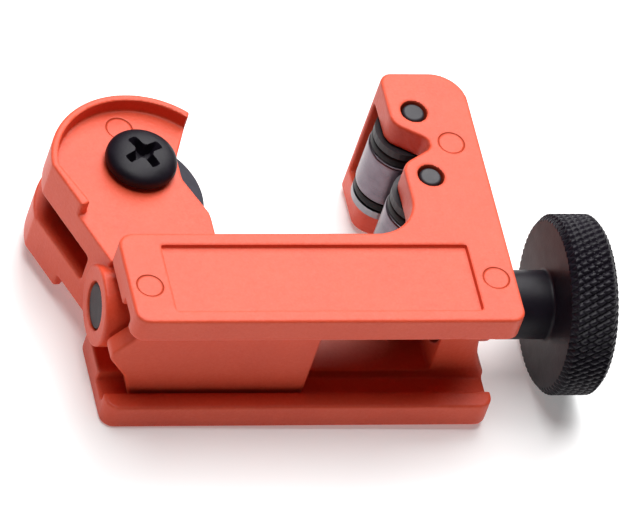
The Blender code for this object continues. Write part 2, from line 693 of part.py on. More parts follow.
def build_clip():
    """Open retaining clip that sits in the screw's groove, with its mouth to one side."""
    inner = CLIP_GROOVE_RADIUS + FIT
    mouth = math.radians(48)
    outer_mouth = math.radians(30)
    outline = (arc(0, 0, CLIP_RADIUS, outer_mouth, 2 * math.pi - outer_mouth)
               + arc(0, 0, inner, 2 * math.pi - mouth, mouth))
    plate("retaining_clip", outline, CLIP_START, CLIP_START + CLIP_THICK, PIN_STEEL, ALONG_X)


build_frame()
build_jaw()
build_wheel()
build_wheel_screw()
for roller_side, roller_y in ROLLER_YS.items():
    build_roller(roller_side, roller_y)
build_feed()
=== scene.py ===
"""Looks of a small screw-feed pipe cutter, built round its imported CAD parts.

The castings are distance fields turned into skins, so that every edge has the round a die
casting has.  The turned parts are profiles carried round an axis, with a knurl, a thread
or a screwdriver recess added to them.  Lengths are in millimetres in the working frame:
X runs along the feed screw from the open end of the frame, Y towards the open side of the
C, Z along the rollers, and the feed screw's axis is Y = 0, Z = 0.
"""
import math

import bmesh
import bpy
import numpy as np
from mathutils import Matrix, Vector


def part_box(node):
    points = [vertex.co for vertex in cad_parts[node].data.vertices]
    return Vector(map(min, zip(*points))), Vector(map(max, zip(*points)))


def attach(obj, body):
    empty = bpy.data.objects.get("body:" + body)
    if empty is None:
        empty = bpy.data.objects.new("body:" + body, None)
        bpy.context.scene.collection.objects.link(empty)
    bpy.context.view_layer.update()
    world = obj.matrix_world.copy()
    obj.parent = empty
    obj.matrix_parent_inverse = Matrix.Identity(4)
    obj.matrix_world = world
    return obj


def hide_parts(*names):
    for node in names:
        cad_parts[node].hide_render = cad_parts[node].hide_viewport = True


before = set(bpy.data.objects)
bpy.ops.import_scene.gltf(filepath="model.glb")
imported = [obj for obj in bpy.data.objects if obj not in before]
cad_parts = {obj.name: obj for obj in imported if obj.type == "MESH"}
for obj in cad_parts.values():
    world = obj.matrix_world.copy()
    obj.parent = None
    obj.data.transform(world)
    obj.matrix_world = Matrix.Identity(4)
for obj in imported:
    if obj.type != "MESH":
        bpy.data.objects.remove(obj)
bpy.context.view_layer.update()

MM = 0.001


# ---------------------------------------------------------------- where the CAD puts things
def box_mm(name):
    """A node's lowest and highest corners in millimetres, in the part's own frame."""
    low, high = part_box(name)
    return np.array(low) / MM, np.array(high) / MM


SCREW_MIDDLE = sum(box_mm("feed_screw")) / 2
ORIGIN = np.array([box_mm("frame")[0][0], *SCREW_MIDDLE[1:]])


def local_box(name):
    """The same corners in the working frame."""
    low, high = box_mm(name)
    return low - ORIGIN, high - ORIGIN


def middle(name):
    low, high = local_box(name)
    return (low + high) / 2


WHEEL_AXIS = middle("cutter_wheel")
ROLLER_AXIS = {side: middle("roller_sleeve_" + side) for side in ("far", "near")}

# Sizes that two pieces share, in millimetres.
CHANNEL_END = 42.5       # where the frame's bearing block starts
CHANNEL_HALF = 6.4       # half of the gap between the frame's flanges
GROOVE_DEPTH = 1.45      # of the guide grooves in the flanges
ARM_HALF = 5.8           # half of the jaw's arm, without its rim
SLOT_HALF = 2.1          # half of the wheel's slot
WHEEL_RADIUS = 9.5
MARK_RADIUS = 1.62       # of an ejector pin


# ---------------------------------------------------------------- materials
def linear(text):
    """An sRGB hex colour as the linear values that shaders take."""
    channels = [int(text[i:i + 2], 16) / 255 for i in (1, 3, 5)]
    values = [c / 12.92 if c <= 0.04045 else ((c + 0.055) / 1.055) ** 2.4 for c in channels]
    return (*values, 1.0)


def add(tree, kind, values=None, **settings):
    """Adds a shader node; values gives its inputs, each a constant or a socket to link from."""
    made = tree.nodes.new("ShaderNode" + kind)
    for name, value in settings.items():
        setattr(made, name, value)
    for name, value in (values or {}).items():
        if isinstance(value, bpy.types.NodeSocket):
            tree.links.new(value, made.inputs[name])
        else:
            made.inputs[name].default_value = value
    return made


def new_material(name, **inputs):
    """A material with its Principled shader, node tree and object coordinates."""
    material = bpy.data.materials.new(name)
    material.use_nodes = True
    tree = material.node_tree
    shader = tree.nodes["Principled BSDF"]
    for key, value in inputs.items():
        shader.inputs[key.replace("_", " ")].default_value = value
    place = add(tree, "TexCoord").outputs["Object"]
    return material, tree, shader, place


def between(tree, factor, low, high):
    """A value that goes from low to high as the factor goes from 0 to 1."""
    return add(tree, "MapRange", {0: factor, 3: low, 4: high}).outputs[0]


def mix_colour(tree, factor, one, two):
    """A colour that goes from one to two as the factor goes from 0 to 1."""
    made = add(tree, "Mix", {0: factor, 6: one, 7: two}, data_type="RGBA")
    return made.outputs[2]


def noise(tree, place, size, detail=3.0, roughness=0.55):
    """Noise whose features are about size millimetres across."""
    return add(tree, "TexNoise", {
        "Vector": place, "Scale": 1 / (size * MM), "Detail": detail, "Roughness": roughness,
    }).outputs["Fac"]


def set_bump(tree, shader, height, depth):
    """Bump whose height of 1 stands depth millimetres proud."""
    bump = add(tree, "Bump", {"Height": height, "Distance": depth * MM, "Strength": 1.0})
    tree.links.new(bump.outputs[0], shader.inputs["Normal"])


def calculate(tree, operation, *values):
    """The result of a Math node on one or two values."""
    return add(tree, "Math", dict(enumerate(values)), operation=operation).outputs[0]


def witness_rings(tree, place, centres, face):
    """1 on the thin circles that ejector pins leave on a casting's faces, 0 elsewhere.

    For a centre c it is the part of 1 - | |p - c| - MARK_RADIUS | / width above 0, measured
    in the plane of the faces, which lie face millimetres either side of the screw's axis.
    The height is compared with a level just under the faces, so that the circles do not
    run down the casting's sides.
    """
    width, under = 0.14, 0.2
    total = 0.0
    for x, y in centres:
        centre = ((x + ORIGIN[0]) * MM, (y + ORIGIN[1]) * MM, 0.0)
        flat = add(tree, "VectorMath", {0: place, 1: (1.0, 1.0, 0.0)}, operation="MULTIPLY")
        reach = add(tree, "VectorMath", {0: flat.outputs[0], 1: centre}, operation="DISTANCE")
        off = calculate(tree, "SUBTRACT", reach.outputs["Value"], MARK_RADIUS * MM)
        size = calculate(tree, "ABSOLUTE", off)
        ring = add(tree, "MapRange", {0: size, 1: 0.0, 2: width * MM, 3: 1.0, 4: 0.0})
        total = calculate(tree, "ADD", total, ring.outputs[0])
    height = add(tree, "SeparateXYZ", {0: place}).outputs[2]
    level = calculate(tree, "SUBTRACT", height, ORIGIN[2] * MM)
    outside = calculate(tree, "GREATER_THAN", calculate(tree, "ABSOLUTE", level), (face - under) * MM)
    return calculate(tree, "MULTIPLY", total, outside)


def paint(name, marks, face):
    """Enamel sprayed on a zinc die casting.

    It is a satin coat with a little orange peel over the casting's own skin. The thin circles
    that ejector pins leave are grooved by bump and darkened in colour as painted shade of those
    grooves.
    """
    material, tree, shader, place = new_material(name, Specular_IOR_Level=0.32)
    cloud = noise(tree, place, 6.0)
    tone = mix_colour(tree, cloud, linear("#D03D22"), linear("#DD4E2F"))
    speck = noise(tree, place, 0.35, 2.0)
    tone = mix_colour(tree, between(tree, speck, 0.0, 0.42), tone, linear("#EA6C4E"))
    rings = witness_rings(tree, place, marks, face)
    # painted shade: the ejector pins' thin circles are darkened in colour to stand for the shade in
    # their grooves
    tone = mix_colour(tree, between(tree, rings, 0.0, 0.42), tone, linear("#8A2A1C"))
    tree.links.new(tone, shader.inputs["Base Color"])
    tree.links.new(between(tree, noise(tree, place, 0.9), 0.38, 0.52), shader.inputs["Roughness"])
    peel = noise(tree, place, 0.45, 2.0)
    grooves = calculate(tree, "MULTIPLY", rings, 3.0)
    set_bump(tree, shader, calculate(tree, "SUBTRACT", peel, grooves), 0.045)
    return material


def black_oxide():
    """Turned steel with a black oxide finish: dark, slightly blue, with a dull sheen."""
    material, tree, shader, place = new_material("black_oxide_steel", Specular_IOR_Level=0.18)
    cloud = noise(tree, place, 1.6, 4.0)
    tone = mix_colour(tree, cloud, linear("#0D0A10"), linear("#1D1822"))
    tree.links.new(tone, shader.inputs["Base Color"])
    tree.links.new(between(tree, cloud, 0.34, 0.52), shader.inputs["Roughness"])
    set_bump(tree, shader, noise(tree, place, 0.35, 3.0), 0.012)
    return material


def ground_steel(name, dark, light, roughness, metallic=1.0):
    """Steel ground or turned round Z: fine rings that cross the length of the part."""
    material, tree, shader, place = new_material(name, Metallic=metallic)
    rings = add(tree, "Mapping", {"Vector": place, "Scale": (0.06, 0.06, 1.0)}).outputs[0]
    lines = noise(tree, rings, 0.12, 2.0)
    cloud = noise(tree, place, 1.8, 3.0)
    tone = mix_colour(tree, cloud, linear(dark), linear(light))
    tone = mix_colour(tree, between(tree, lines, 0.0, 0.35), tone, linear(light))
    tree.links.new(tone, shader.inputs["Base Color"])
    tree.links.new(between(tree, lines, roughness * 0.8, roughness * 1.3), shader.inputs["Roughness"])
    set_bump(tree, shader, lines, 0.006)
    return material


def nylon():
    """Moulded black nylon: matte, with a faint texture from the mould."""
    material, tree, shader, place = new_material(
        "moulded_black_nylon", Roughness=0.5, Specular_IOR_Level=0.15)
    grain = noise(tree, place, 0.3, 2.0)
    tone = mix_colour(tree, grain, linear("#0C0B0D"), linear("#19171B"))
    tree.links.new(tone, shader.inputs["Base Color"])
    set_bump(tree, shader, grain, 0.008)
    return material


FRAME_MARKS = [(2.65, -5.2), (47.1, -4.1), (46.0, WHEEL_AXIS[1])]
JAW_MARKS = [(WHEEL_AXIS[0] - 1.4, WHEEL_AXIS[1] + 5.9)]
FRAME_FACE = 10.15
FRAME_PAINT = paint("satin_enamel_on_frame_casting", FRAME_MARKS, FRAME_FACE)
JAW_PAINT = paint("satin_enamel_on_jaw_casting", JAW_MARKS, ARM_HALF)
BLACK = black_oxide()
ROLLER = ground_steel("ground_roller_steel", "#4A4249", "#7E747C", 0.28)
PIN = ground_steel("dark_pin_steel", "#1B191D", "#2C2930", 0.50, 0.15)
WHEEL = ground_steel("hardened_wheel_steel", "#1C1B21", "#3A3842", 0.42, 0.7)
ZINC = ground_steel("zinc_plated_steel", "#66666A", "#9A9A9E", 0.36)
BRONZE = ground_steel("sintered_bronze", "#8A6334", "#B98A50", 0.45)
NYLON = nylon()


# ---------------------------------------------------------------- placing pieces
SHARP_ANGLE = math.radians(38)      # an edge that bends more than this stays sharp


def place_mesh(name, points, faces, material, body, replaces):
    """A finished piece: points in the working frame become a mesh at the part's origin."""
    mesh = bpy.data.meshes.new(name)
    where = (np.asarray(points) + ORIGIN) * MM
    mesh.from_pydata(where.tolist(), [], [list(face) for face in faces])
    mesh.validate()
    mesh.shade_smooth()
    mesh.set_sharp_from_angle(angle=SHARP_ANGLE)
    mesh.materials.append(material)
    piece = bpy.data.objects.new(name, mesh)
    bpy.context.scene.collection.objects.link(piece)
    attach(piece, body)
    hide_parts(*replaces)
    return piece


def repaint(material, *names):
    """Gives CAD nodes that keep their own shape their finished material."""
    for name in names:
        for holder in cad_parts[name].material_slots:
            holder.material = material


ALONG_X = np.array([[0, 0, 1], [1, 0, 0], [0, 1, 0]], float)
ALONG_Z = np.eye(3)


PROFILE_ARC_POINTS = 5


def smooth_profile(corners, step):
    """A polyline (radius, height, round) with each corner replaced by a tangent arc and
    its straight runs cut into lengths of about step millimetres."""
    points = []
    last = len(corners) - 1
    for i, (radius, height, turn) in enumerate(corners):
        here = np.array([radius, height], float)
        if turn <= 0 or i in (0, last):
            points.append(here)
            continue
        back = np.array(corners[i - 1][:2], float) - here
        ahead = np.array(corners[i + 1][:2], float) - here
        back /= np.linalg.norm(back)
        ahead /= np.linalg.norm(ahead)
        half = math.acos(np.clip(back @ ahead, -1, 1)) / 2
        centre = here + (back + ahead) / np.linalg.norm(back + ahead) * turn / math.sin(half)
        start = here + back * turn / math.tan(half) - centre
        end = here + ahead * turn / math.tan(half) - centre
        sweep = math.atan2(start[0] * end[1] - start[1] * end[0], start @ end)
        for k in np.linspace(0, 1, PROFILE_ARC_POINTS):
            c, s = math.cos(sweep * k), math.sin(sweep * k)
            points.append(centre + [start[0] * c - start[1] * s, start[0] * s + start[1] * c])
    dense = [points[0]]
    for one, two in zip(points, points[1:]):
        pieces = max(1, int(np.linalg.norm(two - one) / step))
        dense += [one + (two - one) * k / pieces for k in range(1, pieces + 1)]
    return np.array(dense)


def revolve(profile, segments, turn=ALONG_Z, centre=(0, 0, 0), shape=None, closed=False):
    """Points and faces of a profile (radius, height) carried round its own Z axis.

    shape(radius, angle, height) gives each point's new radius and height, so that a knurl
    or a recess can be cut.  A closed profile is a ring; an open one starts and ends on the
    axis, where its first and last rings shrink to a point.
    """
    angle = np.linspace(0, 2 * math.pi, segments, endpoint=False)
    radius, turn_angle = np.meshgrid(profile[:, 0], angle, indexing="ij")
    height = np.repeat(profile[:, 1:2], segments, axis=1)
    if shape is not None:
        radius, height = shape(radius, turn_angle, height)
    points = np.stack([radius * np.cos(turn_angle), radius * np.sin(turn_angle), height], -1)
    rows = len(profile)
    index = np.arange(rows * segments).reshape(rows, segments)
    if closed:
        index = np.vstack([index, index[:1]])
    after = np.roll(index, -1, axis=1)
    faces = np.stack([index[:-1], index[1:], after[1:], after[:-1]], -1).reshape(-1, 4)
    flat = points.reshape(-1, 3)
    if not closed:
        flat, faces = close_poles(flat, faces, rows, segments)
    return flat @ np.asarray(turn).T + np.asarray(centre), faces


def close_poles(points, faces, rows, segments):
    """Joins the first and the last ring of a profile, which lie on the axis, to one point."""
    number = np.arange(len(points))
    number[:segments] = 0
    number[(rows - 1) * segments:] = (rows - 1) * segments
    used = np.unique(number)
    renumber = np.zeros(len(points), int)
    renumber[used] = np.arange(len(used))
    return points[used], [list(dict.fromkeys(face)) for face in renumber[number[faces]].tolist()]


# ---------------------------------------------------------------- distance fields
def grid(low, high, step):
    """Coordinates of a block of cells that reaches past low and high on every side."""
    axes = [np.arange(a - 2 * step, b + 2.5 * step, step) for a, b in zip(low, high)]
    return axes, np.meshgrid(*axes, indexing="ij", sparse=True)


OUTLINE_ARC_STEP = math.radians(6)
STRAIGHT = math.radians(89.5)       # half of a corner that hardly turns


def rounded_outline(corners):
    """Closed outline through corners (x, y, radius), each rounded by a tangent arc."""
    points = []
    count = len(corners)
    for i, (x, y, radius) in enumerate(corners):
        here = np.array([x, y], float)
        back = np.array(corners[i - 1][:2], float) - here
        ahead = np.array(corners[(i + 1) % count][:2], float) - here
        back /= np.linalg.norm(back)
        ahead /= np.linalg.norm(ahead)
        half = math.acos(np.clip(back @ ahead, -1, 1)) / 2
        if radius <= 0 or half > STRAIGHT:
            points.append(here)
            continue
        centre = here + (back + ahead) / np.linalg.norm(back + ahead) * radius / math.sin(half)
        start = here + back * radius / math.tan(half) - centre
        sweep = math.pi - 2 * half
        if back[0] * ahead[1] - back[1] * ahead[0] > 0:
            sweep = -sweep
        for k in np.linspace(0, 1, max(3, int(abs(sweep) / OUTLINE_ARC_STEP) + 1)):
            c, s = math.cos(sweep * k), math.sin(sweep * k)
            points.append(centre + [start[0] * c - start[1] * s, start[0] * s + start[1] * c])
    return np.array(points)


TINY = 1e-12        # keeps divisions away from zero


def flat_distance(outline, x, y):
    """Distance to a closed outline in the plane, negative inside it."""
    x, y = np.broadcast_arrays(x, y)
    nearest = np.full(x.shape, np.inf)
    inside = np.zeros(x.shape, bool)
    for (ax, ay), (bx, by) in zip(outline, np.roll(outline, -1, axis=0)):
        dx, dy = bx - ax, by - ay
        along = np.clip(((x - ax) * dx + (y - ay) * dy) / (dx * dx + dy * dy + TINY), 0, 1)
        nearest = np.minimum(nearest, np.hypot(x - ax - along * dx, y - ay - along * dy))
        if abs(dy) > TINY:
            crosses = (ay > y) != (by > y)
            inside ^= crosses & (x < (y - ay) * dx / dy + ax)
    return np.where(inside, -nearest, nearest)


def slab(flat, across, low, high, edge):
    """A flat distance carried from low to high across it, with its edges rounded."""
    a = flat + edge
    b = np.abs(across - (low + high) / 2) - (high - low) / 2 + edge
    return np.minimum(np.maximum(a, b), 0) + np.hypot(np.maximum(a, 0), np.maximum(b, 0)) - edge


def brick(x, y, z, low, high, edge=0.0):
    """A box between two corners, with its edges rounded."""
    parts = [np.abs(v - (a + b) / 2) - (b - a) / 2 + edge for v, a, b in zip((x, y, z), low, high)]
    inner = np.minimum(np.maximum(np.maximum(parts[0], parts[1]), parts[2]), 0)
    outer = np.sqrt(sum(np.maximum(part, 0) ** 2 for part in parts))
    return inner + outer - edge


def join(a, b, fillet):
    """Both shapes, with a fillet where they meet."""
    return np.maximum(fillet, np.minimum(a, b)) - np.hypot(
        np.maximum(fillet - a, 0), np.maximum(fillet - b, 0))


def carve(a, b, edge):
    """The first shape without the second, with the new edges rounded."""
    return -join(-a, b, edge)


def skin(field, axes):
    """Surface nets: one point in each cell the surface crosses, and a face across each
    grid edge that changes sign.  A cell's point is the mean of its edges' crossings."""
    low = [axis[0] for axis in axes]
    step = axes[0][1] - axes[0][0]
    shape = np.array(field.shape) - 1
    total = np.zeros((*shape, 3), np.float32)
    count = np.zeros(shape, np.int8)
    for axis in range(3):
        others = [k for k in range(3) if k != axis]
        for first in (0, 1):
            for second in (0, 1):
                offset = [0, 0, 0]
                offset[others[0]], offset[others[1]] = first, second
                start = tuple(slice(o, o + n) for o, n in zip(offset, shape))
                offset[axis] = 1
                end = tuple(slice(o, o + n) for o, n in zip(offset, shape))
                a, b = field[start], field[end]
                crosses = (a < 0) != (b < 0)
                part = np.where(crosses, a / np.where(crosses, a - b, 1), 0)
                total[..., axis] += part
                total[..., others[0]] += crosses * first
                total[..., others[1]] += crosses * second
                count += crosses
    active = count > 0
    number = np.full(shape, -1)
    number[active] = np.arange(active.sum())
    cells = np.argwhere(active)
    points = (cells + total[active] / count[active][:, None]) * step + low
    faces = []
    for axis in range(3):
        one, two = [k for k in range(3) if k != axis]
        if axis == 1:
            one, two = two, one
        ahead = [slice(None)] * 3
        here = [slice(None)] * 3
        ahead[axis] = slice(1, None)
        here[axis] = slice(None, -1)
        a, b = field[tuple(here)] < 0, field[tuple(ahead)] < 0
        where = np.argwhere(a != b)
        where = where[(where[:, one] > 0) & (where[:, two] > 0)]
        outward = a[tuple(where.T)]
        step_one, step_two = np.eye(3, dtype=int)[one], np.eye(3, dtype=int)[two]
        ring = [number[tuple((where - da * step_one - db * step_two).T)]
                for da, db in ((1, 1), (0, 1), (0, 0), (1, 0))]
        ring = np.stack(ring, -1)
        ring[~outward] = ring[~outward][:, ::-1]
        faces.append(ring)
    return points, np.concatenate(faces)


FLAT_BEND = 2e-6                    # 1 - cosine of the angle between two flat faces
MERGE_ANGLE = math.radians(0.5)


def thin_out(points, faces):
    """Merges the cells inside the flat faces, where they say nothing about the shape.

    A point is flat when every face round it has the same normal; only faces whose corners
    are all flat are merged, so the rounds keep all their cells and their smooth normals.
    """
    one = points[faces[:, 2]] - points[faces[:, 0]]
    two = points[faces[:, 3]] - points[faces[:, 1]]
    normal = np.cross(one, two)
    normal /= np.linalg.norm(normal, axis=1, keepdims=True) + TINY
    mean = np.zeros(points.shape)
    for k in range(4):
        np.add.at(mean, faces[:, k], normal)
    mean /= np.linalg.norm(mean, axis=1, keepdims=True) + TINY
    bend = np.zeros(len(points))
    for k in range(4):
        np.maximum.at(bend, faces[:, k], 1 - (normal * mean[faces[:, k]]).sum(1))
    flat = (bend < FLAT_BEND)[faces].all(1)
    work = bmesh.new()
    corners = [work.verts.new(point) for point in points.tolist()]
    merged = []
    for face, is_flat in zip(faces.tolist(), flat.tolist()):
        made = work.faces.new([corners[k] for k in face])
        if is_flat:
            merged.append(made)
    inside = set(merged)
    edges = {edge for face in merged for edge in face.edges
             if all(other in inside for other in edge.link_faces)}
    verts = {vert for edge in edges for vert in edge.verts}
    work.normal_update()
    bmesh.ops.dissolve_limit(work, angle_limit=MERGE_ANGLE, verts=list(verts),
                             edges=list(edges))
    bmesh.ops.triangulate(work, faces=[face for face in work.faces if len(face.verts) > 4])
    work.verts.index_update()
    points = np.array([vert.co for vert in work.verts])
    faces = [[vert.index for vert in face.verts] for face in work.faces]
    work.free()
    return points, faces


def press_marks(body, x, y, z, centres, face):
    """Sinks the shallow discs that ejector pins leave in both faces of a casting."""
    depth = 0.10
    for mark_x, mark_y in centres:
        reach = np.hypot(x - mark_x, y - mark_y) - MARK_RADIUS
        body = carve(body, np.maximum(reach, face - depth - np.abs(z)), 0.02)
    return body


# ---------------------------------------------------------------- frame casting
def frame_field(x, y, z):
    """Flanges and clevis from one plan, hollowed by the channel, grooves and panels."""
    low, high = local_box("frame")
    length, near, far, half = high[0], low[1], high[1], high[2]
    line = WHEEL_AXIS[1]
    gap = CHANNEL_HALF
    past = 9                                    # well outside the casting

    # Plan: two flanges, and the clevis with a notch between its two rollers.
    edge = 3.1                                  # the flanges' edge on the pipe's side
    clevis = length - 10.75
    plan = rounded_outline([
        (0, near, 1.8), (length, near, 1.8), (length, far, 4.4), (clevis, far, 1.6),
        (clevis, line + 3.3, 2.4), (clevis + 5.4, line, 1.3), (clevis, line - 3.3, 2.4),
        (clevis, edge, 5.7), (0, edge, 2.1)])
    body = slab(flat_distance(plan, x, y), z, -half, half, 0.32)

    # Channel for the jaw, and the space for the rollers above it.
    rolls = ROLLER_AXIS["near"][1] - 4.5
    channel = brick(x, y, z, (-past, near - past, -gap), (CHANNEL_END, rolls, gap), 0.5)
    body = carve(body, channel, 0.28)
    roller_room = brick(x, y, z, (-past, rolls - 1, -gap), (clevis + 7.8, far - 1.7, gap), 0.5)
    body = carve(body, roller_room, 0.28)

    # Guide grooves inside the flanges, and the gap under the bearing block.
    groove = gap + GROOVE_DEPTH
    body = carve(body, brick(
        x, y, z, (-past, near + 2.5, -groove), (length + past, near + 5.8, groove), 0.3), 0.22)
    body = carve(body, brick(
        x, y, z, (CHANNEL_END - 2, near - past, -gap), (length + past, near + 3.0, gap), 0.3), 0.28)

    # Hollow of the knob end, with the round pad that the thrust washer bears on.
    trough_radius, trough_depth, pad_radius = 12.5, 2.1, 4.5
    trough = np.hypot(x - length - trough_radius + trough_depth, z) - trough_radius
    body = carve(body, slab(trough, y, near + 2.5, far - 1.7, 0.3), 0.25)
    body = join(body, slab(np.hypot(y, z) - pad_radius, x, length - 4, length - 0.3, 0.15), 0.3)

    # Sunk panels on both faces, ejector marks, and the bores.
    inset, panel_end = 1.85, 5.3
    panel = rounded_outline([
        (panel_end, near + inset, 0.3), (length - panel_end, near + inset, 0.3),
        (length - panel_end, edge - inset, 0.3), (panel_end, edge - inset, 0.3)])
    sunk = slab(flat_distance(panel, x, y), np.abs(z), half - 0.6, half + 5, 0.1)
    body = carve(body, sunk, 0.08)
    body = press_marks(body, x, y, z, FRAME_MARKS, half)
    for side in ROLLER_AXIS.values():
        body = carve(body, np.hypot(x - side[0], y - side[1]) - 1.7, 0.12)
    ring = np.hypot(y, z)
    bore = np.maximum(ring - 2.8, CHANNEL_END - 1 - x)
    body = carve(body, bore, 0.25)
    pocket = np.maximum(ring - 4.6, np.abs(x - CHANNEL_END + 4) - 5.5)
    return carve(body, pocket, 0.2)


def make_frame():
    low, high = local_box("frame")
    axes, (x, y, z) = grid(low, high, 0.21)
    points, faces = thin_out(*skin(frame_field(x, y, z), axes))
    return place_mesh("frame_casting", points, faces, FRAME_PAINT, "frame_body", ["frame"])


# ---------------------------------------------------------------- jaw casting
def jaw_field(x, y, z):
    """Slotted arm with a raised rim, threaded barrel, web and guide plate."""
    wheel_x, line = WHEEL_AXIS[:2]
    low, high = local_box("jaw")
    rim_top = high[2]
    past = 9                                    # well outside the casting

    # Arm: a round head, a straight back down to the heel, and a front in three bends.
    rim_x, rim_y, rim, rim_wide = wheel_x - 0.25, line - 1.85, 11.6, 0.95
    sweep = np.radians(np.linspace(49, 178, 40))
    turn = np.stack([np.cos(sweep), np.sin(sweep)], -1)
    head = (rim_x, rim_y) + rim * turn
    heel = np.array([wheel_x - 6.6, 2.2])
    front = rounded_outline([
        (wheel_x + 7.6, heel[1], 0), (wheel_x + 7.6, line * 0.56, 3.0),
        (wheel_x + 5.1, line * 0.88, 2.5), (wheel_x + 5.1, line * 1.08, 2.5),
        (*head[0], 0), (wheel_x, line, 0)])[:-2]
    plan = np.vstack([head, [heel], front])
    arm = slab(flat_distance(plan, x, y), z, -rim_top, rim_top, 0.28)

    # Faces sunk inside the rim, whose tail ends in a short hook along the back.
    inner = (rim_x, rim_y) + (rim - rim_wide) * turn
    tail_y = rim_y - 5.6
    back = heel - head[-1]
    tail_x = heel[0] + (tail_y - heel[1]) * back[0] / back[1] + rim_wide
    pocket = np.vstack([inner, [
        (tail_x + 0.05, tail_y + 1.0), (tail_x + 0.4, tail_y + 0.1), (tail_x, tail_y - 0.3),
        (-past, tail_y - 0.9), (-past, -5), (30, -5),
        (30, inner[0][1] + 0.3), (inner[0][0] + 0.5, inner[0][1] - 0.5)]])
    sunk = slab(flat_distance(pocket, x, y), np.abs(z), ARM_HALF, ARM_HALF + past, 0.25)
    arm = carve(arm, sunk, 0.22)
    arm = press_marks(arm, x, y, z, JAW_MARKS, ARM_HALF)

    # Barrel round the feed screw, the web under it, and the plate in the frame's grooves.
    ring = np.hypot(y, z)
    body = join(arm, slab(ring - 5.0, x, -1.05, 18.75, 0.3), 0.4)
    web = brick(x, y, z, (2.6, -6.0, -3.7), (17.8, 0, 3.7))
    body = join(body, web, 0.4)
    wide = CHANNEL_HALF + GROOVE_DEPTH - 0.3
    shoulder, plate_end, tip = 3.4, 25.6, -0.8
    plate = rounded_outline([
        (shoulder, -wide, 0.8), (plate_end, -wide, 0.8), (plate_end, wide, 0.8),
        (shoulder, wide, 0.8), (shoulder - 1.0, wide * 0.55, 1.2), (tip, 0, 1.2),
        (shoulder - 1.0, -wide * 0.55, 1.2)])
    guide = slab(flat_distance(plate, x, z), y, low[1], low[1] + 2.7, 0.25)
    body = join(body, guide, 0.3)

    # Slot for the wheel, and the bores for the feed screw and the wheel's screw.
    slot_floor = line - WHEEL_RADIUS - 2.1
    slot = brick(x, y, z, (-20, slot_floor, -SLOT_HALF), (40, 60, SLOT_HALF), 0.6)
    body = carve(body, slot, 0.2)
    body = carve(body, ring - 3.04, 0.1)
    return carve(body, np.hypot(x - wheel_x, y - line) - 2.7, 0.15)


def make_jaw():
    low, high = local_box("jaw")
    axes, (x, y, z) = grid(low, high, 0.18)
    points, faces = thin_out(*skin(jaw_field(x, y, z), axes))
    return place_mesh("jaw_casting", points, faces, JAW_PAINT, "jaw_body", ["jaw"])


# ---------------------------------------------------------------- knob, feed screw and peg
def make_knob():
    """Rim with a diamond knurl: the radius falls along two families of opposite helices."""
    low, high = local_box("knob")
    start, end, rim = low[0], high[0], high[2]
    face = end - 6.1
    hub, bore = 4.28, 2.8
    teeth, segments_a_tooth = 70, 7
    depth, slope = 0.36, 0.55       # of the grooves, and how far they lean from the axis
    tooth = 2 * math.pi * rim / teeth

    def knurl(radius, angle, height):
        along = (height - face) * slope / tooth
        turn = angle * teeth / (2 * math.pi)
        one = np.abs((turn + along) % 1 - 0.5) * 2
        two = np.abs((turn - along) % 1 - 0.5) * 2
        wide, narrow = np.clip(1 - one * 1.7, 0, 1), np.clip(1 - two * 2.4, 0, 1) * 0.7
        near_rim = np.clip((radius - rim + 1.1) / 0.5, 0, 1)
        return radius - depth * np.maximum(wide, narrow) * near_rim, height

    corners = [
        (bore, end - 0.6, 0), (rim * 0.62, end - 0.6, 0.4), (rim * 0.70, end, 0.3),
        (rim - 0.75, end, 0.25), (rim, end - 0.75, 0.25), (rim, face + 0.75, 0.25),
        (rim - 0.75, face, 0.25), (hub, face, 0.35), (hub, start, 0.3), (bore, start, 0)]
    profile = smooth_profile(corners, 0.16)
    points, faces = revolve(profile, teeth * segments_a_tooth, ALONG_X, shape=knurl, closed=True)
    return place_mesh("knurled_knob", points, faces, BLACK, "feed_body", ["knob"])


def make_feed_screw():
    """M6 thread: the radius follows a rounded V along a helix of 1 mm pitch."""
    low, high = local_box("feed_screw")
    start, end = low[0], high[0]
    crest, journal, pitch = high[2], 2.5, 1.0
    thread_end, fade_length, deepest = 41.9, 0.8, 0.58

    def thread(radius, angle, height):
        phase = (height - angle / (2 * math.pi) * pitch) / pitch % 1
        valley = np.clip(np.abs(phase - 0.5) * 2, 0.12, 0.88)
        fade = (np.clip((height - start) / fade_length, 0, 1)
                * np.clip((thread_end - height) / fade_length, 0, 1))
        on_thread = (radius > journal + 0.05) & (height < thread_end)
        depth = deepest * (valley - 0.12) * (0.35 + 0.65 * fade)
        return radius - np.where(on_thread, depth, 0), height

    clip_low, clip_high, clip_floor = 42.45, 43.25, 1.9     # groove of the retaining clip
    corners = [
        (0, end, 0), (journal, end, 0.3), (journal, clip_high, 0), (clip_floor, clip_high, 0),
        (clip_floor, clip_low, 0), (journal, clip_low, 0), (journal, thread_end, 0),
        (crest, thread_end - 0.4, 0.1),
        (crest, start + 0.2, 0.05), (crest - 0.2, start, 0.1), (0, start, 0)]
    points, faces = revolve(smooth_profile(corners, 0.1), 48, ALONG_X, shape=thread)
    return place_mesh("threaded_feed_screw", points, faces, BLACK, "feed_body", ["feed_screw"])


# ---------------------------------------------------------------- wheel and its screw
def make_wheel():
    """Cutting wheel: a hub, a thin disc and a bevel down to a keen edge."""
    low, high = local_box("cutter_wheel")
    rim = (high[0] - low[0]) / 2
    bore, hub_radius, hub, disc, keen = 3.7, 5.0, 1.8, 0.85, 0.05
    side = [(bore, hub, 0), (hub_radius, hub, 0.2), (hub_radius, disc, 0.3),
            (rim - 2.6, disc, 0.4), (rim, keen, 0)]
    corners = side + [(radius, -height, turn) for radius, height, turn in reversed(side)]
    points, faces = revolve(smooth_profile(corners, 0.4), 120, centre=WHEEL_AXIS, closed=True)
    return place_mesh("cutting_wheel", points, faces, WHEEL, "wheel_body", ["cutter_wheel"])


